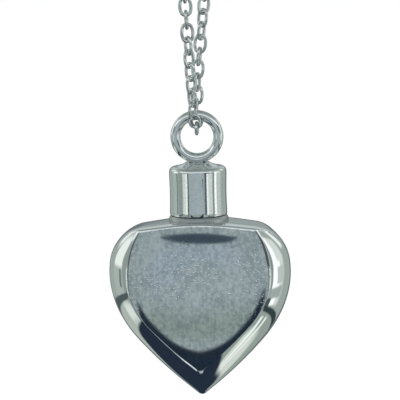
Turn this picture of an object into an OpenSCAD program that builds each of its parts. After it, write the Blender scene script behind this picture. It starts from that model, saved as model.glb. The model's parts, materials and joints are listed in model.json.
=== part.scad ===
// Keepsake urn pendant: a hollow polished heart closed by a screw cap with a
// soldered ring, hanging on a fine cable chain with a clasp at the nape.
// The origin is where the necklace hangs, inside the top of the loop.

/* [Heart] */
// Width of the heart
heart_w = 20; // [16:0.5:26]
// Height of the heart, from the top to the tip
heart_h = 19.7; // [16:0.1:25]
// Thickness of the heart at the middle of its faces
heart_t = 8.5; // [7.6:0.1:10]
// Height that each face rises from its edge to its middle
dome = 0.8; // [0.5:0.05:1.2]
// Width of the rounded shoulder between the outline and a face, at the sides
side_band = 2.15; // [1.6:0.05:2.6]
// Drop from the top of the outline to the upper edge of a face
top_band = 0.4; // [0.3:0.05:0.9]
// Distance from the tip of the outline to the lower corner of a face
tip_band = 3.2; // [2.6:0.1:3.8]
// Thickness of the metal wall
wall = 0.75; // [0.6:0.05:1]

/* [Neck and seat] */
// Diameter of the seat collar on top of the heart
collar_d = 6.54; // [6:0.02:7.4]
// Height of the seat collar above the top of the heart
collar_h = 0.3; // [0.2:0.02:0.8]
// Outside diameter of the threaded neck inside the heart
neck_d = 4.4; // [4.2:0.1:4.8]
// Depth of the threaded neck below the top of the heart
neck_depth = 3.6; // [3.2:0.1:4.4]

/* [Screw cap] */
// Diameter of the cap
cap_d = 6.28; // [5.8:0.02:7]
// Height of the cap
cap_h = 5.3; // [4.2:0.05:7]
// Radius of the rounded upper edge of the cap
cap_round = 0.55; // [0.3:0.05:1]
// How far the side of the cap is drawn in at half height
cap_waist = 0.04; // [0:0.01:0.15]
// Gap between the cap and its seat when it is screwed home
seat_gap = 0.08; // [0.04:0.01:0.2]
// Outside diameter of the stud's thread
stud_d = 3; // [2.6:0.1:3.2]
// Length of the stud below the cap
stud_l = 4; // [3.4:0.1:4.6]
// Pitch of the thread, which turned grooves stand in for
thread_pitch = 0.5; // [0.4:0.05:0.7]
// Depth of the thread
thread_depth = 0.24; // [0.1:0.02:0.3]
// Clearance between the stud and its hole, all round
thread_fit = 0.06; // [0.03:0.01:0.12]

/* [Ring] */
// Outside diameter of the ring on the cap
ring_d = 5.8; // [5:0.1:7]
// Diameter of the ring's wire
ring_wire = 1.1; // [0.8:0.05:1.2]
// Diameter of the flared boss under the ring, at its foot
boss_foot_d = 4.7; // [4:0.1:5]
// Diameter of the boss at its top
boss_top_d = 2.7; // [2.2:0.1:3.2]
// Height of the boss
boss_h = 0.45; // [0.4:0.05:1]

/* [Chain] */
// Length of one link
link_l = 2.2; // [2:0.05:2.4]
// Width of one link
link_w = 1.56; // [1.5:0.02:1.7]
// Diameter of a link's wire
link_wire = 0.34; // [0.3:0.01:0.36]
// Gap between two links, and between a link and the ring
link_gap = 0.11; // [0.08:0.01:0.14]
// Lean of the first three links away from the ring, in degrees
first_leans = [36, 7, 4];
// Gap between the end of a plain stretch of chain and its neighbour
chain_end_gap = 0.3; // [0.2:0.05:0.5]

/* [Clasp] */
// Length of the clasp's hook
clasp_l = 8.6; // [7:0.2:11]
// Height of the clasp
clasp_h = 4.2; // [3.6:0.1:5]
// Diameter of the clasp's wire
clasp_wire = 1.2; // [1:0.05:1.4]
// Outside diameter of the eye at the end of the clasp
eye_d = 2.6; // [2.4:0.1:3]
// Diameter of the eye's wire
eye_wire = 0.7; // [0.5:0.05:0.8]

/* [Hidden] */
// Links of each strand that are built one by one, up from the ring
single_links = 12;
$fn = 64;

// Height of the ring's top wire, with the origin inside the top of the loop
hook_z = -236;

// Middle line of each strand, from near the ring up to the clasp: x, y, z
left_route = [
    [-0.15, -1.9, -236], [-0.4, -1.9, -232], [-0.8, -1.85, -224],
    [-1.4, -1.7, -216], [-3.3, -1.5, -196], [-7.2, -1.2, -156],
    [-11.1, -0.8, -116], [-15, -0.5, -76], [-18.7, -0.2, -40],
    [-21, 0, -22], [-21, 0, -15.8], [-19.3, 0, -10.5], [-16.3, 0, -5.8],
    [-12.2, 0, -2], [-8, 0, 0.6]];
right_route = [
    [-0.05, 1.9, -236], [0.05, 1.9, -232], [0.95, 1.85, -224],
    [2.05, 1.7, -216], [4.3, 1.5, -196], [8.1, 1.2, -156],
    [11.8, 0.8, -116], [15.5, 0.5, -76], [18.9, 0.2, -40],
    [21, 0, -22], [21, 0, -15.8], [19.3, 0, -10.5], [16.3, 0, -5.8],
    [12.2, 0, -2], [8, 0, 0.6]];

// Twist of each link about its own length, in degrees, up from the ring:
// a link at 0 faces the front and one at 90 shows its edge
left_twist = [168, 62, 132, 50, 138, 46, 123, 10, 90, 0, 90, 0];
right_twist = [0, 92, -20, 72, 166, 82, 170, 64, 138, 32, 110, 8];

// The heart's outline and its face's outline, as arcs that turn from the top
// round to the tip. Columns: turn in degrees, outline radius as a share of the
// outline's width, face radius as a share of the face's width
heart_arcs = [
    [6.9, 0.046, 2.11],
    [3.2, 5.43, 1.73],
    [37.1, 0.223, 0.02],
    [29.6, 0.402, 0.735],
    [42.9, 0.768, 0.32],
    [12, 2.284, 1.64],
    [48.3, 0.024, 0.023]];
turn_column = 0;
outline_column = 1;
face_column = 2;

// Points along each arc, on the outside and in the cavity
outer_steps = 7;
cavity_steps = 4;

// Section from the outline (band 0) to the face's edge (band 1): columns are
// the share of the band's width and the share of the edge's depth
shoulder = [
    [0, 0], [0.012, 0.14], [0.048, 0.28], [0.11, 0.42], [0.2, 0.56],
    [0.315, 0.69], [0.45, 0.8], [0.62, 0.9], [0.8, 0.965], [1, 1]];
cavity_shoulder = [[0, 0], [0.11, 0.42], [0.45, 0.8], [1, 1]];
// Power that keeps the top of the heart level from front to back, where the
// cap sits, and the drop down the outline over which it fades out
crown_power = 3.5;
crown_fade = 1.6;
// Shares of the way from the face's edge to its middle
face_rings = [0.1, 0.28, 0.5, 0.75];
cavity_rings = [0.28, 0.65];
// Power of the dome's curve, and how far down a face its highest point lies
dome_power = 2.6;
dome_middle = 0.45;
// Insets of the cavity in walls: at the tip of the outline, in the width of its
// shoulder at the sides, and in the drop from its tip to its face
cavity_tip = 1.6;
cavity_side_cut = 0.25;
cavity_tip_cut = 0.5;

steel = [0.72, 0.73, 0.74];
// How far the ring is sunk into the top of the boss, where it is soldered
ring_sink = 0.12;
// How far one turned or soldered stretch runs into the next
joint_sink = 0.2;
// Share of the wall that the collar sinks, to meet the crowned top all round
collar_sink = 0.8;
// Heights between which the collar's side is a cone, as shares of its height
collar_cone = [0.15, 0.85];
// Height in the cap of its waist's middle, and the waist's length, as shares
waist_middle = 0.45;
waist_share = 0.7;
// Chamfer of the stud's end, and half a groove's width as a share of the pitch
stud_chamfer = 0.3;
groove_half = 0.38;
ring_r = (ring_d - ring_wire) / 2;
cap_top = hook_z - 2 * ring_r - ring_wire / 2 + ring_sink - boss_h;
cap_foot = cap_top - cap_h;
heart_top = cap_foot - seat_gap - collar_h;
hole_d = stud_d + 2 * thread_fit;

function unit(v) = v / norm(v);

// Running sums of a list, starting with zero
function sums(v) = [for (i = 0, s = 0; i <= len(v); s = s + (i < len(v) ? v[i] : 0), i = i + 1) s];

// Half an outline from the top to the tip, as x and drop, scaled to its size
function half_outline(column, width, height, arc_steps) =
    let (
        start = sums([for (arc = heart_arcs) arc[turn_column]]),
        steps = [for (i = [0:len(heart_arcs) - 1], j = [0:arc_steps - 1])
            let (arc = heart_arcs[i],
                 a = start[i] + arc[turn_column] * j / arc_steps,
                 b = start[i] + arc[turn_column] * (j + 1) / arc_steps)
            arc[column] * [sin(b) - sin(a), cos(a) - cos(b)]],
        path = [for (i = 0, p = [0, 0]; i <= len(steps);
            p = p + (i < len(steps) ? steps[i] : [0, 0]), i = i + 1) p],
        end = path[len(path) - 1],
        closed = [for (p = path) [p.x - end.x * p.y / end.y, p.y]],
        reach = max([for (p = closed) p.x]))
    [for (p = closed) [p.x * width / 2 / reach, p.y * height / end.y]];

// Whole outline, clockwise from the top as seen from the front
function whole_outline(half) = concat(
    [for (i = [0:len(half) - 1]) half[i]],
    [for (i = [len(half) - 2:-1:1]) [-half[i].x, half[i].y]]);

// One ring of points at a depth, with z measured down from the heart's top
function level(points, depth) = [for (p = points) [p.x, depth, -p.y]];

// Share of the band that one point of the outline has crossed
function crossed(share, drop) =
    pow(share, 1 + (crown_power - 1) * max(0, 1 - drop / crown_fade));

// Closed heart with domed faces: width, height, thickness and bands, then how
// finely it is built
module heart_form(w, h, t, side, top, tip, steps, section, inner_rings) {
    edge = t / 2 - dome;
    outer = whole_outline(half_outline(outline_column, w, h, steps));
    face_h = h - top - tip;
    face = [for (p = whole_outline(half_outline(face_column, w - 2 * side, face_h, steps)))
        [p.x, p.y + top]];
    middle = [0, top + face_h * dome_middle];
    front = concat(
        [for (s = section)
            level([for (i = [0:len(outer) - 1]) let (b = crossed(s[0], outer[i].y))
                outer[i] * (1 - b) + face[i] * b], -edge * s[1])],
        [for (f = inner_rings) let (out = 1 - f)
            level([for (p = face) p * out + middle * f],
                -edge - dome * (1 - pow(out, dome_power)))]);
    back = [for (i = [len(front) - 1:-1:1]) [for (p = front[i]) [p.x, -p.y, p.z]]];
    rings = concat(back, front);
    n = len(outer);
    count = len(rings);
    points = concat(
        [for (ring = rings) each ring],
        [[middle.x, t / 2, -middle.y], [middle.x, -t / 2, -middle.y]]);
    faces = concat(
        [for (i = [0:count - 2], j = [0:n - 1])
            let (a = i * n + j, b = i * n + (j + 1) % n)
            each [[a, b + n, a + n], [a, b, b + n]]],
        [for (j = [0:n - 1]) [count * n, (j + 1) % n, j]],
        [for (j = [0:n - 1])
            [count * n + 1, (count - 1) * n + j, (count - 1) * n + (j + 1) % n]]);
    polyhedron(points, faces, convexity = 6);
}

// Hollow heart with its soldered seat collar and the neck that takes the stud
module heart_urn() {
    color(steel) translate([0, 0, heart_top]) difference() {
        union() {
            difference() {
                heart_form(heart_w, heart_h, heart_t, side_band, top_band, tip_band,
                    outer_steps, shoulder, face_rings);
                translate([0, 0, -wall])
                    heart_form(heart_w - 2 * wall, heart_h - (1 + cavity_tip) * wall,
                        heart_t - 2 * wall, side_band - cavity_side_cut * wall, top_band,
                        tip_band - cavity_tip_cut * wall, cavity_steps, cavity_shoulder,
                        cavity_rings);
            }
            translate([0, 0, -neck_depth]) cylinder(d = neck_d, h = neck_depth);
            seat_collar();
        }
        translate([0, 0, -neck_depth - joint_sink])
            cylinder(d = hole_d, h = neck_depth + collar_h + 2 * joint_sink);
    }
}

// Conical collar that the cap closes against, sunk to meet the curved top
module seat_collar() {
    foot = -collar_sink * wall;
    rotate_extrude() polygon([
        [0, foot], [collar_d / 2, foot], [collar_d / 2, collar_h * collar_cone[0]],
        [cap_d / 2, collar_h * collar_cone[1]], [cap_d / 2, collar_h], [0, collar_h]]);
}

// Cap, boss, ring and threaded stud, soldered into one piece
module screw_cap() {
    color(steel) union() {
        translate([0, 0, cap_foot]) {
            cap_body();
            stud();
        }
        translate([0, 0, cap_top]) boss();
        translate([0, 0, hook_z - ring_r]) rotate([90, 0, 0])
            rotate_extrude() translate([ring_r, 0]) circle(d = ring_wire);
    }
}

// Turned body of the cap, slightly waisted, with a rounded upper edge
module cap_body() {
    rotate_extrude() difference() {
        union() {
            square([cap_d / 2, cap_h - cap_round]);
            square([cap_d / 2 - cap_round, cap_h]);
            translate([cap_d / 2 - cap_round, cap_h - cap_round]) circle(r = cap_round);
        }
        if (cap_waist > 0) {
            chord = cap_h * waist_share;
            waist_r = (chord * chord / 4 + cap_waist * cap_waist) / (2 * cap_waist);
            translate([cap_d / 2 - cap_waist + waist_r, cap_h * waist_middle])
                circle(r = waist_r, $fn = 720);
        }
    }
}

// Stud with one turned groove for each pitch of the thread
module stud() {
    turns = floor((stud_l - stud_chamfer - thread_pitch) / thread_pitch);
    groove = [[0, groove_half], [thread_depth, 0], [0, -groove_half]];
    rotate_extrude() polygon(concat(
        [[0, joint_sink], [0, -stud_l], [stud_d / 2 - stud_chamfer, -stud_l],
            [stud_d / 2, -stud_l + stud_chamfer]],
        [for (k = [turns:-1:1], p = groove)
            [stud_d / 2 - p[0], -(k + p[1]) * thread_pitch]],
        [[stud_d / 2, joint_sink]]));
}

// Side of the boss, as shares of what it is drawn in and of its height
boss_profile = [[0, 0], [0.24, 0.25], [0.72, 0.6], [1, 1]];

// Flared boss that carries the ring
module boss() {
    foot_r = boss_foot_d / 2;
    drawn_in = (boss_foot_d - boss_top_d) / 2;
    rotate_extrude() polygon(concat(
        [[0, -joint_sink], [foot_r, -joint_sink]],
        [for (p = boss_profile) [foot_r - p[0] * drawn_in, p[1] * boss_h]],
        [[0, boss_h]]));
}

// Link with round ends and straight sides, its length along Z, facing the front
link_half = (link_l - link_wire) / 2;
link_side = (link_w - link_wire) / 2;
link_straight = 2 * (link_half - link_side);

module half_turn(radius, wire) {
    rotate([90, 0, 0]) rotate_extrude(angle = 180) translate([radius, 0]) circle(d = wire);
}

module link() {
    for (end = [0, 1]) mirror([0, 0, end])
        translate([0, 0, link_straight / 2]) half_turn(link_side, link_wire);
    for (x = [-link_side, link_side]) translate([x, 0, -link_straight / 2])
        cylinder(d = link_wire, h = link_straight);
}

// A link whose length points along a direction, turned about itself
module placed_link(middle, along, twist) {
    turn = atan2(along.y, along.x);
    color(steel) translate(middle) rotate([0, 0, turn]) rotate([0, acos(along.z), 0])
        rotate([0, 0, twist - turn]) link();
}

// The link that lies through the ring, end to end from front to back
ring_link_z = hook_z - ring_wire / 2 - link_gap - link_wire / 2 - link_side;

module ring_link() {
    placed_link([0, 0, ring_link_z], [0, -1, 0], 90);
}

// How far the next link's end lies from the middle of this link's end arc, and
// the length that each link adds to a strand
nest = link_side - link_wire - link_gap;
link_pitch = 2 * link_half - link_wire - link_gap;

function route_x(route, z) = lookup(z, [for (p = route) [p.z, p.x]]);
function route_y(route, z) = lookup(z, [for (p = route) [p.z, p.y]]);

// Outer end of a link, on the middle of its wire
function link_tip(link) = link[0] + link_half * link[1];

function lean_direction(side, lean, x_step) = unit([x_step, side * sin(lean), cos(lean)]);

// First link of a strand, through the end of the ring's link
function first_link(route, side) =
    let (
        along = lean_direction(side, first_leans[0], route[0].x / link_half),
        end = [0, side * link_straight / 2, ring_link_z]
            + nest * lean_direction(side, first_leans[0], 0))
    [end + link_half * along, along];

// Next link up a strand: the early ones lean, the rest follow the route
function next_link(route, side, link, k) =
    let (
        tip = link_tip(link),
        ahead = tip.z + link_pitch,
        x_step = (route_x(route, ahead) - tip.x) / link_pitch,
        along = k < len(first_leans)
            ? lean_direction(side, first_leans[k], x_step)
            : unit([route_x(route, ahead), route_y(route, ahead), ahead] - tip),
        foot = tip + nest * unit(link[1] + along) - link_side * along)
    [foot + link_half * along, along];

// The links of one strand, each as its middle and its direction
function strand_links(route, side) =
    [for (k = 0, link = first_link(route, side); k < single_links;
        k = k + 1, link = next_link(route, side, link, k)) link];

left_links = strand_links(left_route, -1);
right_links = strand_links(right_route, 1);

module strand_link(link, twist) {
    placed_link(link[0], link[1], twist);
}

module left_link(k) {
    strand_link(left_links[k - 1], left_twist[k - 1]);
}

module right_link(k) {
    strand_link(right_links[k - 1], right_twist[k - 1]);
}

// Point on a smooth curve through four points
function smooth(a, b, c, d, t) =
    0.5 * (2 * b + (c - a) * t + (2 * a - 5 * b + 4 * c - d) * t * t
        + (3 * b - a - 3 * c + d) * t * t * t);

// How far above the last single link the chosen route takes over
route_lead = 6;

// A strand's upper stretch, from its last single link to the clasp
function upper_route(route, links, last) =
    let (
        end = links[single_links - 1],
        start = end[0] + end[1] * (link_l / 2 + chain_end_gap))
    concat([start], [for (p = route) if (p.z > start.z + route_lead) p], [last]);

rings_per_span = 3;

function smooth_route(points) =
    let (n = len(points))
    concat(
        [for (i = [0:n - 2], j = [0:rings_per_span - 1])
            smooth(points[max(i - 1, 0)], points[i], points[i + 1],
                points[min(i + 2, n - 1)], j / rings_per_span)],
        [points[n - 1]]);

tube_sides = 8;

// Plain stretch of chain: a tube of a link's width swept along a route
module chain_tube(points, width) {
    path = smooth_route(points);
    n = len(path);
    rings = [for (i = [0:n - 1])
        let (
            along = unit(path[min(i + 1, n - 1)] - path[max(i - 1, 0)]),
            across = unit(cross([0, 1, 0], along)),
            up = cross(along, across))
        [for (j = [0:tube_sides - 1]) let (a = 360 * (j + 0.5) / tube_sides)
            path[i] + width / 2 * (cos(a) * across + sin(a) * up)]];
    polyhedron(
        [for (ring = rings) each ring],
        concat(
            [[for (j = [0:tube_sides - 1]) j]],
            [for (i = [0:n - 2], j = [0:tube_sides - 1])
                let (a = i * tube_sides + j, b = i * tube_sides + (j + 1) % tube_sides)
                each [[a, a + tube_sides, b], [b, a + tube_sides, b + tube_sides]]],
            [[for (j = [tube_sides - 1:-1:0]) (n - 1) * tube_sides + j]]),
        convexity = 10);
}

// The clasp is centred over the origin and its underside is level with it
clasp_z = clasp_h / 2;
clasp_reach = (clasp_l + eye_d - eye_wire) / 2;
// Stretch of chain_end_gap along X that a sloping chain's end needs as well
slope_room = 0.3;

// Where a strand's plain stretch ends, beside the clasp's left or right end
function clasp_end(side) = [side * (clasp_reach + chain_end_gap + slope_room), 0, clasp_z];

module chain_left() {
    route = upper_route(left_route, left_links, clasp_end(-1));
    color(steel) chain_tube(route, link_w);
}

module chain_right() {
    route = upper_route(right_route, right_links, clasp_end(1));
    color(steel) chain_tube(route, link_w);
}

// Clasp as one plain closed hook with an eye
module clasp() {
    end_r = (clasp_h - clasp_wire) / 2;
    straight = clasp_l - clasp_h;
    color(steel) translate([clasp_l / 2 - clasp_reach, 0, clasp_z]) {
        for (side = [0, 180]) rotate([0, side, 0]) {
            translate([straight / 2, 0, 0]) rotate([0, 90, 0]) half_turn(end_r, clasp_wire);
            translate([-straight / 2, 0, end_r]) rotate([0, 90, 0])
                cylinder(d = clasp_wire, h = straight);
        }
        translate([clasp_l / 2 + eye_d / 2 - eye_wire, 0, 0]) rotate([90, 0, 0])
            rotate_extrude() translate([(eye_d - eye_wire) / 2, 0]) circle(d = eye_wire);
    }
}

heart_urn();
screw_cap();
ring_link();
for (k = [1:single_links]) {
    left_link(k);
    right_link(k);
}
chain_left();
chain_right();
clasp();
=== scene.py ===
import json
import math

import bmesh
import bpy
import numpy as np
from mathutils import Matrix, Vector


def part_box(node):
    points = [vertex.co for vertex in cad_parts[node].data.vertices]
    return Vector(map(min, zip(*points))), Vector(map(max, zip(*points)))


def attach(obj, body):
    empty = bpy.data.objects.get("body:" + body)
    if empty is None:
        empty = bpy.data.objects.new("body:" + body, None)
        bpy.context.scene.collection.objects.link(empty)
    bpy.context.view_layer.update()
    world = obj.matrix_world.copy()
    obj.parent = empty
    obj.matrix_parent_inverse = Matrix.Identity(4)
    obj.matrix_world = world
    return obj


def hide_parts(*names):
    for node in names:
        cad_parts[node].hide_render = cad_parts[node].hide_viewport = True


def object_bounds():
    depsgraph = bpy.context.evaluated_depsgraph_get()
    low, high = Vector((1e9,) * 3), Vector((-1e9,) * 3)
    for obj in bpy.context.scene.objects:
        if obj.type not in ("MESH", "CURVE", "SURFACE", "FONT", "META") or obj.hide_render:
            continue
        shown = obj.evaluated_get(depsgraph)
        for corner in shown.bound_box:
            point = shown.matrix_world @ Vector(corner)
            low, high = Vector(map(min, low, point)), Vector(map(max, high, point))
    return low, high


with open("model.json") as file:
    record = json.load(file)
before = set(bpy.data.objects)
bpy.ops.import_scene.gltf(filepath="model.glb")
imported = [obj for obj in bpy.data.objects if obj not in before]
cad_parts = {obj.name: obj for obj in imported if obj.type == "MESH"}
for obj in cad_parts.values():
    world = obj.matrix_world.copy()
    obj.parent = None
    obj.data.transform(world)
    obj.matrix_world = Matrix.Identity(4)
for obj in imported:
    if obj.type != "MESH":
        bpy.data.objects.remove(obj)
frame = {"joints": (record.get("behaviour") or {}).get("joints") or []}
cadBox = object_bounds()
mm = 0.001
weldGap = 0.002 * mm        # points that lie closer than this are one
smoothAngle = 33            # edges sharper than this many degrees stay sharp
hook = Vector(frame["joints"][0]["pos_m"])  # middle of the ring's top wire, where the pendant swings
print("frame loaded")


# small helpers for edit mode

def freshMesh(name):
    # names the newest primitive and its mesh
    piece = bpy.context.object
    piece.name = name
    piece.data.name = name
    return piece


def deselectAll():
    if bpy.context.mode != "OBJECT":
        bpy.ops.object.mode_set(mode="OBJECT")
    bpy.ops.object.select_all(action="DESELECT")


def onlySelect(piece):
    deselectAll()
    piece.select_set(True)
    bpy.context.view_layer.objects.active = piece


def addRing(name, sides, radius):
    # a bare circle of edges to sweep, left in edit mode with all of it selected
    deselectAll()
    bpy.ops.mesh.primitive_circle_add(vertices=sides, radius=radius, fill_type="NOTHING")
    piece = freshMesh(name)
    bpy.ops.object.mode_set(mode="EDIT")
    bpy.ops.mesh.select_all(action="SELECT")
    return piece


def addTorus(name, middleRadius, wire, grid, at=(0, 0, 0), upright=True):
    # a ring of round wire that faces the front or lies flat, in mm; the grid is round the ring and the wire
    deselectAll()
    bpy.ops.mesh.primitive_torus_add(major_radius=middleRadius * mm, minor_radius=wire / 2 * mm,
                                     major_segments=grid[0], minor_segments=grid[1],
                                     rotation=(math.pi / 2 if upright else 0, 0, 0),
                                     location=Vector(at) * mm)
    piece = freshMesh(name)
    bpy.ops.object.transform_apply(location=True, rotation=True, scale=True)
    return piece


def shapeVerts(piece, shape):
    # shape moves each vertex's place, in edit mode
    onlySelect(piece)
    bpy.ops.object.mode_set(mode="EDIT")
    bm = bmesh.from_edit_mesh(piece.data)
    for vert in bm.verts:
        shape(vert.co)
    bmesh.update_edit_mesh(piece.data)
    bpy.ops.object.mode_set(mode="OBJECT")


def closeSweep(piece):
    # a swept ring meets itself: weld it and turn its faces outwards
    onlySelect(piece)
    bpy.ops.object.mode_set(mode="EDIT")
    bpy.ops.mesh.select_all(action="SELECT")
    bpy.ops.mesh.remove_doubles(threshold=weldGap)
    bpy.ops.mesh.normals_make_consistent(inside=False)
    bpy.ops.object.mode_set(mode="OBJECT")


def applyModifier(piece, kind, **settings):
    onlySelect(piece)
    modifier = piece.modifiers.new(kind.title(), kind)
    for name, value in settings.items():
        setattr(modifier, name, value)
    bpy.ops.object.modifier_apply(modifier=modifier.name)


def joinInto(piece, others):
    deselectAll()
    for other in others:
        other.select_set(True)
    piece.select_set(True)
    bpy.context.view_layer.objects.active = piece
    bpy.ops.object.join()
    return piece


def cutOrWeld(piece, tool, operation):
    # takes a second closed shape into a piece or out of it, and removes it
    applyModifier(piece, "BOOLEAN", operation=operation, solver="EXACT", object=tool)
    bpy.data.objects.remove(tool)


def moveMesh(piece, offset):
    onlySelect(piece)
    piece.location = offset
    bpy.ops.object.transform_apply(location=True, rotation=False, scale=False)


def spinProfile(name, profile, steps):
    # turned piece: a profile of (radius, height) in metres is spun once round Z
    deselectAll()
    bpy.ops.mesh.primitive_plane_add(size=1 * mm)
    piece = freshMesh(name)
    bpy.ops.object.mode_set(mode="EDIT")
    bm = bmesh.from_edit_mesh(piece.data)
    bmesh.ops.delete(bm, geom=bm.verts[:], context="VERTS")
    points = [bm.verts.new((radius, 0, height)) for radius, height in profile]
    for a, b in zip(points, points[1:]):
        bm.edges.new((a, b))
    bmesh.update_edit_mesh(piece.data)
    bpy.ops.mesh.select_all(action="SELECT")
    bpy.ops.mesh.spin(steps=steps, angle=2 * math.pi, center=(0, 0, 0), axis=(0, 0, 1))
    closeSweep(piece)
    return piece


def threadedRod(name, height, rows, sides, radiusAt):
    # closed rod whose radius follows the height and the angle, its foot at height 0
    deselectAll()
    bpy.ops.mesh.primitive_cylinder_add(vertices=sides, radius=1 * mm, depth=height,
                                        location=(0, 0, height / 2))
    piece = freshMesh(name)
    bpy.ops.object.transform_apply(location=True, rotation=False, scale=False)
    bpy.ops.object.mode_set(mode="EDIT")
    bm = bmesh.from_edit_mesh(piece.data)
    for edge in bm.edges:
        edge.select = abs(edge.verts[0].co.z - edge.verts[1].co.z) > height / 2
    bpy.ops.mesh.subdivide_edgering(number_cuts=rows - 1)

    def widen(spot):
        share = math.atan2(spot.y, spot.x) / (2 * math.pi)
        scale = radiusAt(spot.z, share) / math.hypot(spot.x, spot.y)
        spot.x *= scale
        spot.y *= scale

    shapeVerts(piece, widen)
    return piece


# the thread that the heart's neck and the cap's stud share, in mm as all lengths here
thread = {
    "pitch": 0.5,
    "depth": 0.24,
    "crest": 3.0,               # diameter over the stud's crests
    "fit": 0.06,                # clearance between stud and bore, all round
    "boreShare": 0.6,           # the bore's grooves are cut to this share of the depth
    "boreFlank": 1.25,          # steepness of the grooves' sides
    "studFlank": 1.35,
    "studRoot": 1.15,           # over 1, so the stud's grooves have a flat root
    "boreEnds": (0.3, 0.5),     # plain stretches at the foot and the mouth of the bore
    "studEnds": (0.15, 0.35),   # and at the tip and the root of the stud
    "studFades": (0.2, 0.25),   # over which the grooves then reach their depth
}


# the heart: two domed faces and a rounded shoulder, swept in rings from its widest line to a face's middle

heart = {
    "collarHeight": 0.3,        # seat collar on the heart's top
    "collarDiameter": 6.54,
    "collarSink": 0.6,          # how far it is sunk into the heart
    "seatDiameter": 6.28,       # its upper edge, as wide as the cap
    "neckDiameter": 4.4,
    "neckDepth": 3.6,
    "mouthRadius": 2.2,         # shallow recess round the bore's mouth
    "mouthLip": 0.25,           # depth and slope of the mouth's chamfer
    "mouthSlope": 0.9,
    "smallEdge": 0.1,           # size of the turned tube's small edges
    "wall": 0.75,
    "tipWalls": 1.6,            # metal in the tip, in walls
    "dome": 0.8,                # rise of a face at the length of its two half axes
    "domePower": 2.6,
    "domeAxes": (7.85, 8.2),
    "sideBand": 2.15,           # rounded shoulder at the sides, at the top and at the tip
    "topBand": 0.4,
    "tipBand": 3.2,
    "crownPower": 3.5,          # keeps the top level from front to back, where the cap sits
    "crownFade": 1.6,
    "faceMiddle": 0.45,         # how far down a face its highest point lies
    "roundRadius": 7.3,         # the rings turn round towards the middle of a face, this fast
    "roundPower": 6,
    "evenPower": 4,             # and their points space out evenly, this fast
    "shoulderTurn": 43.0,       # how far round its oval the shoulder has come at the crease
    "shoulderLength": 2.6,      # along its section
    "crease": 0.12,             # from the crease to the next ring on either side, so its polished radius
    "arcSteps": [4, 3, 10, 7, 10, 4, 7],
    "shoulderSteps": 11,
    "faceSteps": 16,
    "firstStep": 0.045,         # first of them from the crease, as a share of the way to the middle
    "stepGrowth": 1.15,
    "tubeSteps": 96,
    "boreGrid": (66, 48),       # rows and sides
    "past": 0.2,                # how far the bore's tool stands out at both ends
}
# arcs from the top of the outline to the tip: turn in degrees, then the radius of the outline and of the
# face's outline, each as a share of its width
heartArcs = [(6.9, 0.046, 2.11), (3.2, 5.43, 1.73), (37.1, 0.223, 0.02), (29.6, 0.402, 0.735),
             (42.9, 0.768, 0.32), (12.0, 2.284, 1.64), (48.3, 0.024, 0.023)]


def halfOutline(column, width, height, arcSteps):
    x, y, heading = 0.0, 0.0, 0.0
    path = [(x, y)]
    for arc, steps in zip(heartArcs, arcSteps):
        for step in range(steps):
            a, b = (math.radians(heading + arc[0] * s / steps) for s in (step, step + 1))
            x += arc[column] * (math.sin(b) - math.sin(a))
            y += arc[column] * (math.cos(a) - math.cos(b))
            path.append((x, y))
        heading += arc[0]
    closed = [(px - x * py / y, py) for px, py in path]
    reach = max(px for px, py in closed)
    return [(px * width / 2 / reach, py * height / y) for px, py in closed]


def wholeOutline(half):
    left = [(-x, y) for x, y in half[-2:0:-1]]
    return np.array(half + left)


def heartRings(width, height, thickness):
    # rings of half the heart, from its widest line to the middle of the front face, as x, y, z below the top
    steps = heart["arcSteps"]
    side, top, tip = heart["sideBand"], heart["topBand"], heart["tipBand"]
    outer = wholeOutline(halfOutline(1, width, height, steps))
    faceHeight = height - top - tip
    face = wholeOutline(halfOutline(2, width - 2 * side, faceHeight, steps)) + [0, top]
    middle = np.array([0, top + faceHeight * heart["faceMiddle"]])
    rings = []

    def faceDepth(flat):
        reach = np.linalg.norm((flat - middle) / heart["domeAxes"], axis=1)
        return thickness / 2 - heart["dome"] * reach ** heart["domePower"]

    def addHeartRing(flat, depth):
        rings.append([(p[0], -d, -p[1]) for p, d in zip(flat, depth)])

    # the shoulder, up to the crease
    edge = faceDepth(face)
    turnEnd = math.radians(heart["shoulderTurn"])
    hold = 1 + (heart["crownPower"] - 1) * np.clip(1 - outer[:, 1:] / heart["crownFade"], 0, 1)
    shares = [step / heart["shoulderSteps"] for step in range(heart["shoulderSteps"])]
    for share in shares + [1 - heart["crease"] / heart["shoulderLength"], 1]:
        turn = math.pi / 2 - (math.pi / 2 - turnEnd) * share
        band = ((1 - math.sin(turn)) / (1 - math.sin(turnEnd))) ** hold
        addHeartRing(outer * (1 - band) + face * band, edge * math.cos(turn) / math.cos(turnEnd))

    # the face: towards its middle the rings turn round, and their points space out evenly
    spread = face - middle
    reach = np.linalg.norm(spread, axis=1)[:, None]
    crowded = np.unwrap(np.arctan2(spread[:, 0], -spread[:, 1]))
    even = np.linspace(0, 2 * math.pi, len(crowded), endpoint=False)
    firstStep = heart["firstStep"]
    shares = [1 - heart["crease"] / heart["roundRadius"]]
    shares += [1 - (firstStep + (1 - firstStep) * (k / heart["faceSteps"]) ** heart["stepGrowth"])
               for k in range(heart["faceSteps"])]
    for share in shares:
        follow = share ** heart["roundPower"]
        keep = 1 - (1 - share) ** heart["evenPower"]
        angle = crowded * keep + even * (1 - keep)
        heading = np.stack([np.sin(angle), -np.cos(angle)], axis=1)
        flat = middle + heading * (reach * follow + heart["roundRadius"] * (1 - follow)) * share
        addHeartRing(flat, faceDepth(flat))
    return rings, (middle[0], -thickness / 2, -middle[1])


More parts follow.
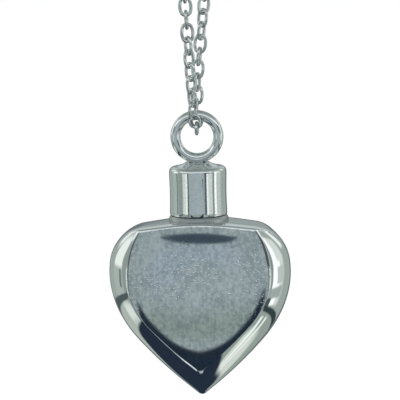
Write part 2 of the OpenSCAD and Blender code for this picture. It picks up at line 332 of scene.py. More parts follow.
def loftHeart(name, rings, pole, top):
    # the widest line is a ring of edges, and each further ring is extruded from the last one
    place = [[Vector(spot) * mm + Vector((0, 0, top)) for spot in ring] for ring in rings]
    piece = addRing(name, len(rings[0]), 1 * mm)
    bm = bmesh.from_edit_mesh(piece.data)
    bm.verts.ensure_lookup_table()
    for vert, spot in zip(bm.verts, place[0]):
        vert.co = spot
    bmesh.update_edit_mesh(piece.data)
    for last, following in zip(place, place[1:]):
        bpy.ops.mesh.extrude_edges_move()
        bm = bmesh.from_edit_mesh(piece.data)
        moved = {tuple(spot): target for spot, target in zip(last, following)}
        for vert in [v for v in bm.verts if v.select]:
            vert.co = moved[tuple(vert.co)]
        bmesh.update_edit_mesh(piece.data)
    bpy.ops.mesh.merge(type="CENTER")
    bm = bmesh.from_edit_mesh(piece.data)
    for vert in bm.verts:
        if vert.select:
            vert.co = Vector(pole) * mm + Vector((0, 0, top))
    bmesh.update_edit_mesh(piece.data)
    bpy.ops.object.mode_set(mode="OBJECT")
    applyModifier(piece, "MIRROR", use_axis=(False, True, False), use_clip=True, merge_threshold=0.01 * mm)
    return piece


def buildHeart():
    low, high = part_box("heart_urn")
    top = high.z - heart["collarHeight"] * mm
    width, thickness, height = ((high.x - low.x) / mm, (high.y - low.y) / mm, (top - low.z) / mm)
    piece = loftHeart("heartUrn", *heartRings(width, height, thickness), top)
    applyModifier(piece, "SUBSURF", levels=1, render_levels=1)
    closeSweep(piece)

    # the hollow, a wall in from the outside
    wall = heart["wall"]
    inner = heartRings(width - 2 * wall, height - (1 + heart["tipWalls"]) * wall, thickness - 2 * wall)
    hollow = loftHeart("hollow", *inner, top)
    closeSweep(hollow)
    moveMesh(hollow, (0, 0, -wall * mm))
    cutOrWeld(piece, hollow, "DIFFERENCE")

    # conical collar and neck in one turned tube, soldered into the top
    collar, seat, rise = heart["collarDiameter"] / 2, heart["seatDiameter"] / 2, heart["collarHeight"]
    neck, drop = heart["neckDiameter"] / 2, heart["neckDepth"]
    sink, small = heart["collarSink"], heart["smallEdge"]
    profile = [(0, -drop), (neck - small, -drop), (neck, small - drop), (neck, -sink),
               (collar - small / 2, -sink), (collar - small / 10, small - sink), (collar, small * 1.8 - sink),
               (collar, rise * 0.06), (collar - small / 5, rise * 0.2), (seat + small * 0.3, rise * 0.57),
               (seat, rise * 0.83), (seat - small * 0.6, rise), (heart["mouthRadius"], rise),
               (heart["mouthRadius"] - small, rise - small / 2), (0, rise - small / 2)]
    tube = spinProfile("collarTube", [(r * mm, top + z * mm) for r, z in profile], heart["tubeSteps"])
    cutOrWeld(piece, tube, "UNION")

    # threaded bore: the crests keep clear of the stud, the grooves go outwards
    bore, depth = thread["crest"] / 2 + thread["fit"], thread["depth"] * thread["boreShare"]
    past = heart["past"]
    length = drop + rise + 2 * past
    threadFoot, threadTop = past + thread["boreEnds"][0], length - past - thread["boreEnds"][1]

    def boreRadius(z, turn):
        z = z / mm
        groove = abs((z / thread["pitch"] - turn) % 1 - 0.5) * 2
        cut = depth * max(0, 1 - groove * thread["boreFlank"]) if threadFoot < z < threadTop else 0
        mouth = max(0, z - (length - past - heart["mouthLip"])) * heart["mouthSlope"]
        return (bore + cut + mouth) * mm

    tool = threadedRod("boreTool", length * mm, *heart["boreGrid"], boreRadius)
    moveMesh(tool, (0, 0, top - (drop + past) * mm))
    cutOrWeld(piece, tool, "DIFFERENCE")
    onlySelect(piece)
    bpy.ops.object.shade_smooth_by_angle(angle=math.radians(smoothAngle))
    return piece


heartPiece = buildHeart()
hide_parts("heart_urn")
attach(heartPiece, "urn")
print("heart done,", len(heartPiece.data.polygons), "faces")


# the screw cap with its boss, ring and threaded stud

cap = {
    "diameter": 6.28,
    "height": 5.3,
    "footEdge": [(0.16, 0.01), (0.08, 0), (0.02, 0.03), (0, 0.09)],     # small edge: in from the side, and up
    "roundEdge": 0.55,          # radius of the upper edge
    "waist": 0.04,              # how far the side is drawn in
    "waistMiddle": 0.45,        # shares of the height
    "waistLength": 0.7,
    "sideSteps": 28,
    "edgeSteps": 12,
    "bossFoot": 4.7,
    "bossTop": 2.7,
    "bossHeight": 0.45,
    # its flare, as shares of the way in and of the height
    "bossFlare": [(-0.12, 0), (0.02, 0.03), (0.1, 0.1), (0.22, 0.22), (0.4, 0.36), (0.62, 0.52), (0.82, 0.7),
                  (0.96, 0.9), (1.0, 1.0)],
    "spinSteps": 120,
    "ringDiameter": 5.8,
    "ringWire": 1.1,
    "ringSink": 0.12,           # how far the ring is sunk into the boss
    "ringGrid": (112, 32),      # round the ring and round its wire
    "studLength": 4.0,
    "studSink": 0.2,            # how far the stud's root is sunk into the cap
    "studChamfer": 0.3,
    "studGrid": (84, 64),       # rows and sides
}


def buildCap():
    radius, height, edge = cap["diameter"] / 2, cap["height"], cap["roundEdge"]
    ringMiddle = (cap["ringDiameter"] - cap["ringWire"]) / 2
    top = hook.z / mm - 2 * ringMiddle - cap["ringWire"] / 2 + cap["ringSink"] - cap["bossHeight"]
    foot = top - height
    waistZ, half = height * cap["waistMiddle"], height * cap["waistLength"] / 2
    waistRadius = (half * half + cap["waist"] ** 2) / (2 * cap["waist"])
    profile = [(0, cap["footEdge"][0][1])] + [(radius - inwards, z) for inwards, z in cap["footEdge"]]
    for step in range(cap["sideSteps"] + 1):
        away = half * (2 * step / cap["sideSteps"] - 1)
        drawn = cap["waist"] - waistRadius + math.sqrt(waistRadius ** 2 - away * away)
        profile.append((radius - max(drawn, 0), waistZ + away))
    for step in range(cap["edgeSteps"] + 1):
        turn = math.pi / 2 * step / cap["edgeSteps"]
        profile.append((radius - edge + edge * math.cos(turn), height - edge + edge * math.sin(turn)))
    for share, rise in cap["bossFlare"]:
        across = cap["bossFoot"] - share * (cap["bossFoot"] - cap["bossTop"])
        profile.append((across / 2, height + rise * cap["bossHeight"]))
    profile.append((0, height + cap["bossHeight"]))
    piece = spinProfile("screwCap", [(r * mm, (foot + z) * mm) for r, z in profile], cap["spinSteps"])

    # the ring, soldered where it sinks into the boss
    ring = addTorus("capRing", ringMiddle, cap["ringWire"], cap["ringGrid"], (0, 0, hook.z / mm - ringMiddle))
    cutOrWeld(piece, ring, "UNION")

    # the stud with its turned thread, run out at both ends
    length = cap["studLength"]
    (tipEnd, rootEnd), (tipFade, rootFade) = thread["studEnds"], thread["studFades"]

    def studRadius(z, turn):
        z = z / mm
        ridge = abs((z / thread["pitch"] - turn) % 1 - 0.5) * 2
        groove = thread["depth"] * min(1, max(0, thread["studRoot"] - thread["studFlank"] * ridge))
        fade = min(1, max(0, (z - tipEnd) / tipFade), max(0, (length - rootEnd - z) / rootFade))
        return (thread["crest"] / 2 - groove * fade - max(0, cap["studChamfer"] - z)) * mm

    stud = threadedRod("stud", (length + cap["studSink"]) * mm, *cap["studGrid"], studRadius)
    moveMesh(stud, (0, 0, (foot - length) * mm))
    cutOrWeld(piece, stud, "UNION")
    onlySelect(piece)
    bpy.ops.object.shade_smooth_by_angle(angle=math.radians(smoothAngle))
    return piece


capPiece = buildCap()
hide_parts("screw_cap")
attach(capPiece, "cap")
print("cap done,", len(capPiece.data.polygons), "faces")


# the chain: one oval link of drawn wire, copied along both strands

link = {
    "length": 2.2,
    "width": 1.56,
    "wire": 0.36,
    "bulge": 0.05,          # how far the sides bow out
    "drawn": 1.6,           # how soon the ends are drawn apart, so the sides run straight
    "gap": 0.11,            # between this wire's nominal 0.34 mm and the next link's
    "nominalWire": 0.34,
    "firstLeans": (36.0, 7.0, 4.0),
    "singleLinks": 12,
    "near": (28, 10),       # segments round a link and round its wire, near the ring
    "far": (14, 6),         # and in the long strands
    "lead": 6.0,            # height over which the last single link is led into the route
    "perSpan": 24,          # steps of the smooth route between two of its points
}
strands = {
    "left": {
        "side": -1,
        "twists": [168, 62, 132, 50, 138, 46, 123, 10, 90, 0, 90, 0],
        "lastTwist": 0,
        "route": [(-0.15, -1.9, -236), (-0.4, -1.9, -232), (-0.8, -1.85, -224), (-1.4, -1.7, -216),
                  (-3.3, -1.5, -196), (-7.2, -1.2, -156), (-11.1, -0.8, -116), (-15, -0.5, -76),
                  (-18.7, -0.2, -40), (-21, 0, -22), (-21, 0, -15.8), (-19.3, 0, -10.5), (-16.3, 0, -5.8),
                  (-12.2, 0, -2), (-8, 0, 0.6)],
    },
    "right": {
        "side": 1,
        "twists": [0, 92, -20, 72, 166, 82, 170, 64, 138, 32, 110, 8],
        "lastTwist": 90,
        "route": [(-0.05, 1.9, -236), (0.05, 1.9, -232), (0.95, 1.85, -224), (2.05, 1.7, -216),
                  (4.3, 1.5, -196), (8.1, 1.2, -156), (11.8, 0.8, -116), (15.5, 0.5, -76),
                  (18.9, 0.2, -40), (21, 0, -22), (21, 0, -15.8), (19.3, 0, -10.5), (16.3, 0, -5.8),
                  (12.2, 0, -2), (8, 0, 0.6)],
    },
}
clasp = {
    "length": 8.6,
    "height": 4.2,
    "wire": 1.2,
    "hookGrid": (64, 20),
    "drawn": 4,             # how soon the hook's bends are drawn apart, so its sides run straight
    "eye": 2.6,
    "eyeWire": 0.7,
    "eyeGrid": (40, 16),
    "jumpRing": 3.4,        # ring that joins the left strand to the clasp
    "jumpWire": 0.55,
    "jumpGrid": (48, 14),
    "play": 0.06,           # between parts that hang in each other
    "smoothAngle": 40,
}
linkHalf = (link["length"] - link["nominalWire"]) / 2
linkSide = (link["width"] - link["nominalWire"]) / 2
linkPitch = 2 * linkHalf - link["nominalWire"] - link["gap"]
nest = linkSide - link["nominalWire"] - link["gap"]
ringLinkZ = hook.z / mm - cap["ringWire"] / 2 - link["gap"] - link["nominalWire"] / 2 - linkSide
claspZ = clasp["height"] / 2
claspReach = (clasp["length"] + clasp["eye"] - clasp["eyeWire"]) / 2     # from the middle to either end


def drawApart(value, share, speed):
    # value with its sign, reached soon on the way from the middle to either end
    return value * max(-1, min(1, share * speed))


def buildLink(name, grid):
    # a torus whose ends are drawn apart and whose sides are bowed, its length along Z, facing the front
    side = (link["width"] - link["wire"]) / 2 - link["bulge"]
    half = (link["length"] - link["wire"]) / 2
    piece = addTorus(name, side, link["wire"], grid)

    def drawLink(spot):
        rise = spot.z / math.hypot(spot.x, spot.z)
        spot.z += drawApart((half - side) * mm, rise, link["drawn"])
        spot.x += math.copysign(link["bulge"] * mm * max(0, 1 - rise * rise), spot.x)

    shapeVerts(piece, drawLink)
    bpy.ops.object.shade_smooth()
    return piece


def lookUp(route, z, column):
    heights = [p[2] for p in route]
    return float(np.interp(z, heights, [p[column] for p in route]))


def leanDirection(side, lean, xStep):
    return Vector((xStep, side * math.sin(math.radians(lean)), math.cos(math.radians(lean)))).normalized()


def smoothRoute(points, perSpan):
    # the same smooth curve as the source's tube, through its points, cut finer
    path = []
    for i in range(len(points) - 1):
        a, b, c, d = (points[min(max(i + k, 0), len(points) - 1)] for k in (-1, 0, 1, 2))
        for j in range(perSpan):
            t = j / perSpan
            path.append(0.5 * (2 * b + (c - a) * t + (2 * a - 5 * b + 4 * c - d) * t * t
                               + (3 * b - a - 3 * c + d) * t ** 3))
    return path + [points[-1]]


def strandPlaces(strand, lastTip):
    # middle, direction and twist of every link, from the ring to the clasp
    route, side, twists, leans = strand["route"], strand["side"], strand["twists"], link["firstLeans"]
    along = leanDirection(side, leans[0], route[0][0] / linkHalf)
    end = Vector((0, side * (linkHalf - linkSide), ringLinkZ)) + leanDirection(side, leans[0], 0) * nest
    places = [(end + along * linkHalf, along, twists[0])]

    for k in range(1, link["singleLinks"]):
        middle, heading, _ = places[-1]
        tip = middle + heading * linkHalf
        ahead = tip.z + linkPitch
        if k < len(leans):
            along = leanDirection(side, leans[k], (lookUp(route, ahead, 0) - tip.x) / linkPitch)
        else:
            along = (Vector((lookUp(route, ahead, 0), lookUp(route, ahead, 1), ahead)) - tip).normalized()
        foot = tip + (heading + along).normalized() * nest - along * linkSide
        places.append((foot + along * linkHalf, along, twists[k]))

    # from here on the links follow the smooth route in equal steps
    middle, heading, twist = places[-1]
    tip = middle + heading * linkHalf
    points = [tip] + [Vector(p) for p in route if p[2] > tip.z + link["lead"]] + [lastTip]
    path = smoothRoute(points, link["perSpan"])
    reach = [0.0]
    for a, b in zip(path, path[1:]):
        reach.append(reach[-1] + (b - a).length)
    count = math.ceil(reach[-1] / linkPitch)
    step = reach[-1] / count
    xs, ys, zs = ([p[k] for p in path] for k in range(3))
    turned = strand["lastTwist"] - (twist + 90 * count)
    drift = ((turned + 90) % 180 - 90) / count
    for k in range(1, count + 1):
        at = k * step
        spot = Vector([float(np.interp(at, reach, line)) for line in (xs, ys, zs)])
        along = (spot - tip).normalized()
        middle = spot - along * (linkHalf - (step - linkPitch) / 2)
        places.append((middle, along, twist + (90 + drift) * k))
        tip = spot
    return places


def placeLink(piece, middle, along, twist):
    turn = math.atan2(along.y, along.x)
    lean = math.acos(max(-1, min(1, along.z)))
    placed = Matrix.Translation(middle * mm) @ Matrix.Rotation(turn, 4, "Z") @ Matrix.Rotation(lean, 4, "Y")
    piece.data.transform(placed @ Matrix.Rotation(math.radians(twist) - turn, 4, "Z"))
    return piece


def copyMesh(piece, name):
    copied = piece.copy()
    copied.data = piece.data.copy()
    copied.name = name
    copied.data.name = name
    bpy.context.scene.collection.objects.link(copied)
    return copied


def finishChainPiece(piece, node):
    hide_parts(node)
    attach(piece, "chain")
    return piece


def buildChain():
    nearLink = buildLink("nearLink", link["near"])
    farLink = buildLink("farLink", link["far"])
    ringLink = placeLink(copyMesh(nearLink, "ringLink"), Vector((0, 0, ringLinkZ)), Vector((0, -1, 0)), 90)
    pieces = [finishChainPiece(ringLink, "ring_link")]

    # where the last links meet the clasp: the left one in its jump ring, the right one in its eye
    wire = link["wire"] / 2
    jumpInner = clasp["jumpRing"] / 2 - clasp["jumpWire"]
    jumpX = -claspReach + clasp["wire"] + clasp["play"] - jumpInner
    ends = {
        "left": Vector((jumpX - jumpInner + wire + clasp["play"], 0, claspZ)),
        "right": Vector((claspReach - clasp["eyeWire"] - wire - clasp["play"], 0, claspZ)),
    }
    singles = link["singleLinks"]
    for name, strand in strands.items():
        places = strandPlaces(strand, ends[name])
        for k, place in enumerate(places[:singles], 1):
            piece = placeLink(copyMesh(nearLink, name + "Link" + str(k)), *place)
            pieces.append(finishChainPiece(piece, name + "_link_" + str(k)))
        upper = [placeLink(copyMesh(farLink, name + "Far" + str(k)), *place)
                 for k, place in enumerate(places[singles:])]
        if name == "left":
            ring = addTorus("jumpRing", (clasp["jumpRing"] - clasp["jumpWire"]) / 2, clasp["jumpWire"],
                            clasp["jumpGrid"], (jumpX, 0, claspZ), upright=False)
            bpy.ops.object.shade_smooth()
            upper.append(ring)
        piece = joinInto(upper[0], upper[1:])
        piece.name = name + "Chain"
        pieces.append(finishChainPiece(piece, "chain_" + name))
        print(name, "strand:", len(places), "links")
    bpy.data.objects.remove(nearLink)
    bpy.data.objects.remove(farLink)
    return pieces


chainPieces = buildChain()
print("chain done")


# the clasp at the nape: a plain closed hook with its eye

def buildClasp():
    hookX = clasp["length"] / 2 - claspReach
    straight = (clasp["length"] - clasp["height"]) / 2
    piece = addTorus("claspHook", (clasp["height"] - clasp["wire"]) / 2, clasp["wire"], clasp["hookGrid"])

    def drawHook(spot):
        spot.x += drawApart(straight * mm, spot.x / math.hypot(spot.x, spot.z), clasp["drawn"])

    shapeVerts(piece, drawHook)
    moveMesh(piece, (hookX * mm, 0, claspZ * mm))
    eyeX = hookX + clasp["length"] / 2 + clasp["eye"] / 2 - clasp["eyeWire"]
    eye = addTorus("claspEye", (clasp["eye"] - clasp["eyeWire"]) / 2, clasp["eyeWire"], clasp["eyeGrid"],
                   (eyeX, 0, claspZ))
    cutOrWeld(piece, eye, "UNION")
    onlySelect(piece)
    bpy.ops.object.shade_smooth_by_angle(angle=math.radians(clasp["smoothAngle"]))
    return finishChainPiece(piece, "clasp")


claspPiece = buildClasp()
print("clasp done")


# materials

def linear(code):
    channels = [int(code[i:i + 2], 16) / 255 for i in (1, 3, 5)]
    return tuple(c / 12.92 if c <= 0.04045 else ((c + 0.055) / 1.055) ** 2.4 for c in channels) + (1,)


def addNode(tree, kind, settings=None, output=0):
    # a setting is a property, the value of an input, or a socket that leads into it; gives an output socket
    node = tree.nodes.new("ShaderNode" + kind)
    for name, value in (settings or {}).items():
        if isinstance(value, bpy.types.NodeSocket):
            tree.links.new(value, node.inputs[name])
        elif isinstance(name, int) or name in node.inputs:
            node.inputs[name].default_value = value
        else:
            setattr(node, name, value)
    return node.outputs[output]


def newMaterial(name, settings):
    material = bpy.data.materials.new(name)
    material.use_nodes = True
    shader = material.node_tree.nodes["Principled BSDF"]
    for socket, value in settings.items():
        shader.inputs[socket].default_value = value
    return material, material.node_tree, shader


# deep-drawn 316L sheet, mirror-polished on a mop: the shoulder is a clean dark mirror, and handling has left a
# fine haze and faint streaks on the two flatter faces, with small pitted specks whose pure white colour is a
# painted glint
heartFinish = {
    "steel": "#e3e5e6",
    "hazed": "#bcc3c6",         # where the haze lies thick
    "facing": (0.84, 0.955),    # squareness to the front or back at which the haze starts and is full
    "hazeRange": (0.32, 0.66),  # of its pattern, from clean to thick
    "cloudSize": 2.4,           # patches of haze in mm, as all sizes here
    "grainSize": 0.4,           # real buffing grain is 0.02 mm, drawn twenty times coarser to show
    "streakWidth": 0.3,
    "streakLength": 1.6,
    "streakTurn": 7,            # degrees from upright
    "speckSpacing": 0.32,
    "speckEdge": (0.3, 0.12),   # rim and bright middle of a speck, as shares of the spacing
    "speckKept": (0.15, 0.5),   # the share of specks that is left out, and that is full
    "cloudKept": (0.4, 0.5),    # the patches that have specks
    "speckGlint": "#ffffff",   # painted glint: the specks are coloured pure white
    "speckDepth": 0.03,
    "speckRough": 0.15,
    "marksMiddle": 6.4,         # the marks lie this far below the heart's top, and fade over this far
    "marksFade": 5.0,
    "mirror": 0.04,             # roughness of the clean mirror and of the haze
    "haze": 0.085,
    "collar": "#a9adae",        # painted shade: the soldered collar is left satin, and its metal is painted a darker grey so it shows dim
    "collarRough": 0.32,
    "collarRim": (0.03, 0.015),     # outside its radius, where the satin starts and is full
    "collarFoot": (-0.5, -0.45),    # and above the heart's top
    "peelSize": 1.5,            # waviness that drawing leaves under the polish
    "peelHeight": 0.0006,
}


def mirrorPolishedSheet():
    material, tree, shader = newMaterial("mirrorPolishedSheet316L", {"Metallic": 1})
    spot = addNode(tree, "TexCoord", output="Object")
    height = addNode(tree, "SeparateXYZ", {0: spot}, "Z")
    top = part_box("heart_urn")[1].z - heart["collarHeight"] * mm

    # patterns
    cloud, grain, peel = (
        addNode(tree, "TexNoise", {"Scale": 1000 / heartFinish[size], "Detail": detail,
                                   "Roughness": roughness, "Vector": spot})
        for size, detail, roughness in (("cloudSize", 2, 0.5), ("grainSize", 2, 0.6), ("peelSize", 1, 0.5)))
    narrow, long = 1000 / heartFinish["streakWidth"], 1000 / heartFinish["streakLength"]
    along = addNode(tree, "Mapping", {"Rotation": (0, math.radians(heartFinish["streakTurn"]), 0),
                                      "Scale": (narrow, narrow, long), "Vector": spot})
    streak = addNode(tree, "TexNoise", {"Scale": 1, "Detail": 3, "Vector": along})
    specks = addNode(tree, "TexVoronoi", {"Scale": 1000 / heartFinish["speckSpacing"], "Vector": spot})
    chance = addNode(tree, "SeparateColor", {0: specks.node.outputs["Color"]})

    # the haze lies on the faces alone
    normal = addNode(tree, "SeparateXYZ", {0: spot.node.outputs["Normal"]}, "Y")
    square = addNode(tree, "Math", {"operation": "ABSOLUTE", 0: normal})
    low, high = heartFinish["facing"]
    face = addNode(tree, "MapRange", {"interpolation_type": "SMOOTHSTEP", "From Min": low, "From Max": high,
                                      "Value": square})
    patchy = addNode(tree, "Math", {"operation": "ADD", 0: cloud, 1: streak})
    hazy = addNode(tree, "Math", {"operation": "MULTIPLY", 0: grain, 1: patchy})
    low, high = heartFinish["hazeRange"]
    thick = addNode(tree, "MapRange", {"From Min": low, "From Max": high, "Value": hazy})
    haze = addNode(tree, "Math", {"operation": "MULTIPLY", 0: thick, 1: face})

    # the specks lie in a band across the faces; their pits and added roughness are relief, their pure white
    # colour is a painted glint
    marksZ = top - heartFinish["marksMiddle"] * mm
    off = addNode(tree, "Math", {"operation": "SUBTRACT", 0: height, 1: marksZ})
    off = addNode(tree, "Math", {"operation": "ABSOLUTE", 0: off})
    fade = heartFinish["marksFade"] * mm
    speckBand = addNode(tree, "MapRange", {"interpolation_type": "SMOOTHSTEP", "From Max": fade, "To Min": 1.0,
                                        "To Max": 0.0, "Value": off})
    speck = addNode(tree, "Math", {"operation": "MULTIPLY", 0: speckBand, 1: face})
    for limits, pattern in (("speckEdge", specks), ("speckKept", chance), ("cloudKept", cloud)):
        low, high = heartFinish[limits]
        mask = addNode(tree, "MapRange", {"From Min": low, "From Max": high, "Value": pattern})
        speck = addNode(tree, "Math", {"operation": "MULTIPLY", 0: speck, 1: mask})

    # the collar is all that lies within its radius and above the heart's top
    across = addNode(tree, "Mapping", {"Scale": (1, 1, 0), "Vector": spot})
    reach = addNode(tree, "VectorMath", {"operation": "LENGTH", 0: across}, "Value")
    rim = [(heart["collarDiameter"] / 2 + past) * mm for past in heartFinish["collarRim"]]
    foot = [top + rise * mm for rise in heartFinish["collarFoot"]]
    within, above = (addNode(tree, "MapRange", {"From Min": low, "From Max": high, "Value": value})
                     for (low, high), value in ((rim, reach), (foot, height)))
    # the collar's mask carries its satin roughness and its painted shade, a darker grey
    onCollar = addNode(tree, "Math", {"operation": "MULTIPLY", 0: within, 1: above})

    rough = addNode(tree, "MapRange", {"To Min": heartFinish["mirror"], "To Max": heartFinish["haze"],
                                       "Value": haze})
    for mask, more in ((speck, heartFinish["speckRough"]), (onCollar, heartFinish["collarRough"])):
        rough = addNode(tree, "Math", {"operation": "MULTIPLY_ADD", 0: mask, 1: more, 2: rough})
    colour = addNode(tree, "Mix", {"data_type": "RGBA", 0: haze, 6: linear(heartFinish["steel"]),
                                   7: linear(heartFinish["hazed"])}, 2)
    # painted glint: the specks are coloured pure white
    for mask, code in ((speck, heartFinish["speckGlint"]), (onCollar, heartFinish["collar"])):
        colour = addNode(tree, "Mix", {"data_type": "RGBA", 0: mask, 6: colour, 7: linear(code)}, 2)
    wavy = addNode(tree, "Bump", {"Strength": 1, "Distance": heartFinish["peelHeight"] * mm, "Height": peel})
    pitted = addNode(tree, "Bump", {"Strength": 1, "Distance": heartFinish["speckDepth"] * mm,
                                    "Height": speck, "Normal": wavy})
    tree.links.new(colour, shader.inputs["Base Color"])
    tree.links.new(rough, shader.inputs["Roughness"])
    tree.links.new(pitted, shader.inputs["Normal"])
    return material


# bar turned on a lathe and polished while it spins: a mirror with fine rings round its axis
turnedFinish = {
    "name": "turnedPolishedBar316L",
    "steel": "#e4e6e7",
    "greyed": "#d6dadb",        # tarnish in the grain
    "patchSize": 0.2,
    "patchRange": (0.4, 0.68),  # of the pattern, from bright to fully greyed
    "mirror": 0.05,             # roughness where it is bright and where it is greyed
    "dull": 0.12,
    "reliefSize": (16.67, 16.67, 0.12),     # rings; real turning marks are 0.03 mm apart, drawn coarser
    "reliefDetail": 3,
    "reliefRoughness": 0.7,
    "reliefHeight": 0.00012,
}
# drawn and soldered wire, tumbled with steel pins: bright but softly dimpled all over
wireFinish = {
    "name": "tumbledWire316L",
    "steel": "#e4e6e7",
    "greyed": "#bec2c4",        # grey film where the tumbling pins don't reach
    "patchSize": 0.8,
    "patchRange": (0.4, 0.65),
    "mirror": 0.05,
    "dull": 0.14,
    "reliefSize": (0.12, 0.12, 0.12),       # dimples
    "reliefDetail": 1,
    "reliefRoughness": 0.5,
    "reliefHeight": 0.0004,
}
# lost-wax cast and barrel-polished: a soft mirror with shallow waves, greyer in their troughs
castFinish = {
    "name": "castPolished316L",
    "steel": "#dfe2e3",
    "greyed": "#bfc4c6",
    "patchSize": 0.7,
    "patchRange": (0.6, 0.38),
    "mirror": 0.1,
    "dull": 0.22,
    "reliefSize": (0.7, 0.7, 0.7),
    "reliefDetail": 3,
    "reliefRoughness": 0.5,
    "reliefHeight": 0.002,
}


def polishedSteel(finish):
    # bright steel with greyer, duller patches over a fine relief
    material, tree, shader = newMaterial(finish["name"], {"Metallic": 1})
    spot = addNode(tree, "TexCoord", output="Object")
    patches = addNode(tree, "TexNoise", {"Scale": 1000 / finish["patchSize"], "Detail": 3, "Vector": spot})
    low, high = finish["patchRange"]
    dull = addNode(tree, "MapRange", {"From Min": low, "From Max": high, "Value": patches})
    colour = addNode(tree, "Mix", {"data_type": "RGBA", 0: dull, 6: linear(finish["steel"]),
                                   7: linear(finish["greyed"])}, 2)
    rough = addNode(tree, "MapRange", {"To Min": finish["mirror"], "To Max": finish["dull"], "Value": dull})
    scaled = addNode(tree, "Mapping", {"Scale": [1000 / size for size in finish["reliefSize"]],
                                       "Vector": spot})
    relief = addNode(tree, "TexNoise", {"Scale": 1, "Detail": finish["reliefDetail"],
                                        "Roughness": finish["reliefRoughness"], "Vector": scaled})
    bumped = addNode(tree, "Bump", {"Strength": 1, "Distance": finish["reliefHeight"] * mm, "Height": relief})
    tree.links.new(colour, shader.inputs["Base Color"])
    tree.links.new(rough, shader.inputs["Roughness"])
    tree.links.new(bumped, shader.inputs["Normal"])
    return material


finishes = [([heartPiece], mirrorPolishedSheet()), ([capPiece], polishedSteel(turnedFinish)),
            ([claspPiece], polishedSteel(castFinish)), (chainPieces, polishedSteel(wireFinish))]
for pieces, finish in finishes:
    for piece in pieces:
        piece.data.materials.clear()
        piece.data.materials.append(finish)
print("materials done")


# floor, light and camera

floor = {
    "drop": 60,             # below the tip of the heart, in mm
    "size": 6000,
    "paper": "#f6f6f6",
    "rough": 0.9,
}


def buildFloor():
    deselectAll()
    height = cadBox[0][2] - floor["drop"] * mm
    bpy.ops.mesh.primitive_plane_add(size=floor["size"] * mm, location=(0, 0, height))
    sheet = freshMesh("paleFloor")
    bpy.ops.object.transform_apply(location=True, rotation=True, scale=True)
    paper = {"Base Color": linear(floor["paper"]), "Roughness": floor["rough"]}
    sheet.data.materials.append(newMaterial("paleMattePaper", paper)[0])
    sheet.visible_glossy = False


buildFloor()

# The studio as the steel sees it, by azimuth from the heart's front and by elevation, in degrees. A zone is
# its azimuth from and to, its elevation from and to, the width of its soft edges and its colour, and it covers
# the ones before it. A bowed one goes on with the azimuth at the middle of the bow, and with how far its lower
# and its upper edge bow away, in degrees for each square degree.
studio = {
    "tent": "#98a29d",          # where there is no zone
    "strength": 1.3,
    "backdrop": "#ffffff",      # what the camera and the floor see
    "floorLight": 1.12,
    "zones": [
        # ceiling and the room behind
        (-200, 200, 48, 100, 16, "#7f8986"),
        (-200, -150, -34, 48, 8, "#8b9493"),
        (150, 200, -34, 48, 8, "#8b9493"),
        (-200, -150, 15, 32, 6, "#b4bcbb"),
        (150, 200, 15, 32, 6, "#b4bcbb"),
        (-200, -150, -34, 6.3, 2, "#646d70"),
        (150, 200, -34, 6.3, 2, "#646d70"),
        (118, 136, 14, 32, 6, "#e8ecea"),
        (-136, -104, 14, 34, 8, "#dfe4e2"),
        # left: pale boards with thin joints, and grey beyond them
        (-116, -84, -30, 26, 6, "#a4aea8"),
        (-112, -83, -1, 22, 5, "#e6ece6"),
        (-84, -61, -34, 24, 4, "#8b9591"),
        (-61, -36, -34, 24, 4, "#8f9995"),
        (-61, -36, -13.5, -0.5, 3, "#cbd4cd"),
        (-61, -36, 15, 24, 4, "#dfe6e2"),
        (-47, -36, -13.5, -0.5, 3, "#eaf0ea"),
        (-92, -87, -13, -2, 2, "#66716c"),
        # right: a tall white window, a dark frame beside it
        (97, 110, -30, 24, 6, "#aab4ae"),
        (46, 66, -26, 24, 4, "#a3aeaa"),
        (65, 74, -26, 24, 3, "#7f8986"),
        (73.5, 93, -31, 24, 2.5, "#fbfdfc"),
        (93, 105, -31, 24, 4, "#cdd4ce"),
        (84, 106, 4, 24, 5, "#cfd6d0"),
        (84, 106, -13, -1.5, 2, "#b7c0bb"),
        (70, 104, -25, -15.5, 3, "#9ca6a2"),
        (40, 64, -13, -1, 3, "#c9d0cb"),
        # front: the grey room before the window
        (-34, 44, -70, 60, 4, "#98a4a5"),
        (39, 46, -16, 18, 2, "#eef3f0"),
        (30.5, 38.5, -16, 0, 2, "#50585b"),
        (27.5, 50, 0, 20, 2, "#4a5153"),
        (-40, -34.6, -24, 15, 1, "#4d5759"),
        (-21, 13, -8, 6, 14, "#9aa7b0"),
        (-8, 28, -12, -1.5, 8, "#9ca7aa"),
        (-26, 20, -26, -15, 8, "#8c9894"),
        (-19, 14, 6.0, 11.4, 1.2, "#3d4954", -3, 0.019, 0),
        (-80, 70, 19, 34, 4, "#eef1f1"),
        # below: dark strips to the left and right, pale ground, and the navy table at the foot
        (-150, -50, -42, -25, 4, "#a8b2aa"),
        (-104, -74, -38, -25, 8, "#d3dad3"),
        (-150, -60, -25, -20, 1.5, "#4b5858", -115, 0.003, 0.003),
        (30, 175, -70, -35, 3, "#8f9b93"),
        (64, 160, -66, -50, 6, "#ccd4cb"),
        (76, 83, -70, -40, 3, "#eef2ee"),
        (90, 97, -70, -40, 3, "#e6ebe6"),
        (42, 80, -33, -25, 2, "#46534f", 100, 0.0016, 0.0016),
        (62, 150, -38, -33.5, 1.5, "#323e40", 105, 0.0026, 0.0026),
        (-200, -27, -100, -41.5, 3, "#232d3b", -108, 0, 0.0027),
        (0, 200, -100, -64, 2, "#232d3b", 85, 0, 0.004),
        (-29, 24, -100, -31.5, 2.5, "#222d3a", -4, 0, 0.031),
        (-62, -30, -45, -28, 3, "#232d3b"),
        (-45, -20, -54, -45, 2, "#dfe5e5"),
        (-50, -30, -47, -33, 2, "#b9c2c4"),
        (-12, 12, -60, -50, 3, "#aab4b6"),
    ],
}


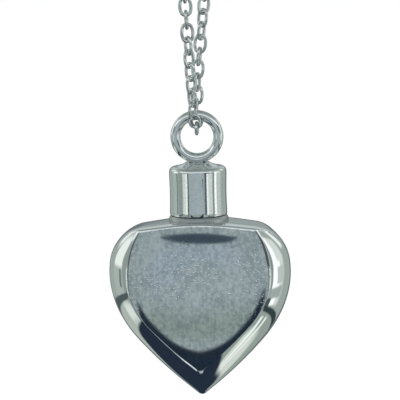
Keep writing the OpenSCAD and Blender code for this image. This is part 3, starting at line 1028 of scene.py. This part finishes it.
def buildStudio():
    world = bpy.data.worlds.new("softStudio")
    bpy.context.scene.world = world
    world.use_nodes = True
    tree = world.node_tree
    background = tree.nodes["Background"]
    direction = addNode(tree, "TexCoord", output="Generated")
    axes = addNode(tree, "SeparateXYZ", {0: direction}).node.outputs
    forward = addNode(tree, "Math", {"operation": "MULTIPLY", 0: axes["Y"], 1: -1.0})
    azimuth = addNode(tree, "Math", {"operation": "ARCTAN2", 0: axes["X"], 1: forward})
    elevation = addNode(tree, "Math", {"operation": "ARCSINE", 0: axes["Z"]})
    azimuth, elevation = (addNode(tree, "Math", {"operation": "DEGREES", 0: angle})
                          for angle in (azimuth, elevation))

    colour = addNode(tree, "RGB")
    colour.default_value = linear(studio["tent"])
    for zone in studio["zones"]:
        # the zone's edges: what rises across each, where it starts and where it has risen
        west, east, low, high, softness, code = zone[:6]
        middle, lowBow, highBow = zone[6:] or (0, 0, 0)
        soft = softness / 2
        edges = []
        if west > -180:
            edges.append((azimuth, west - soft, west + soft))
        if east < 180:
            edges.append((azimuth, east + soft, east - soft))
        for height, bow, inwards in ((low, lowBow, soft), (high, highBow, -soft)):
            angle = elevation
            if bow:
                away = addNode(tree, "Math", {"operation": "SUBTRACT", 0: azimuth, 1: middle})
                square = addNode(tree, "Math", {"operation": "MULTIPLY", 0: away, 1: away})
                bowed = addNode(tree, "Math", {"operation": "MULTIPLY", 0: square, 1: bow})
                angle = addNode(tree, "Math", {"operation": "SUBTRACT", 0: elevation, 1: bowed})
            if abs(height) <= 90:
                edges.append((angle, height - inwards, height + inwards))
        mask = 1.0
        for angle, start, risen in edges:
            rise = addNode(tree, "MapRange", {"interpolation_type": "SMOOTHSTEP", "From Min": start,
                                              "From Max": risen, "Value": angle})
            mask = addNode(tree, "Math", {"operation": "MULTIPLY", 0: rise, 1: mask})
        colour = addNode(tree, "Mix", {"data_type": "RGBA", 0: mask, 6: colour, 7: linear(code)}, 2)
    tree.links.new(colour, background.inputs["Color"])
    background.inputs["Strength"].default_value = studio["strength"]

    # the camera and the floor see plain white, the steel sees the zones
    plain = addNode(tree, "Background", {"Color": linear(studio["backdrop"]),
                                         "Strength": studio["floorLight"]})
    glossy = addNode(tree, "LightPath", output="Is Glossy Ray")
    both = addNode(tree, "MixShader", {0: glossy, 1: plain, 2: background.outputs[0]})
    tree.links.new(both, tree.nodes["World Output"].inputs["Surface"])


buildStudio()

camera = {
    "target": (0.18, 0, -9.34),    # point in the middle of the view, in mm from the ring's top wire
    "distance": 250.0,
    "viewWidth": 43.8,             # width of the view at the pendant
    "azimuth": 4.0,
    "elevation": 7.5,
    "roll": -1.3,
    "clip": (0.01, 20),            # metres
}


def buildCamera():
    data = bpy.data.cameras.new("camera")
    view = bpy.data.objects.new("camera", data)
    bpy.context.scene.collection.objects.link(view)
    target = hook + Vector(camera["target"]) * mm
    azimuth, elevation = math.radians(camera["azimuth"]), math.radians(camera["elevation"])
    away = Vector((math.sin(azimuth) * math.cos(elevation), -math.cos(azimuth) * math.cos(elevation),
                   math.sin(elevation)))
    aim = (-away).to_track_quat("-Z", "Y").to_matrix().to_4x4()
    view.matrix_world = (Matrix.Translation(target + away * camera["distance"] * mm) @ aim
                         @ Matrix.Rotation(math.radians(camera["roll"]), 4, "Z"))
    data.angle = 2 * math.atan(camera["viewWidth"] / 2 / camera["distance"])
    data.clip_start, data.clip_end = camera["clip"]
    bpy.context.scene.camera = view


buildCamera()
bpy.context.scene.view_settings.view_transform = "Standard"
print("studio done")
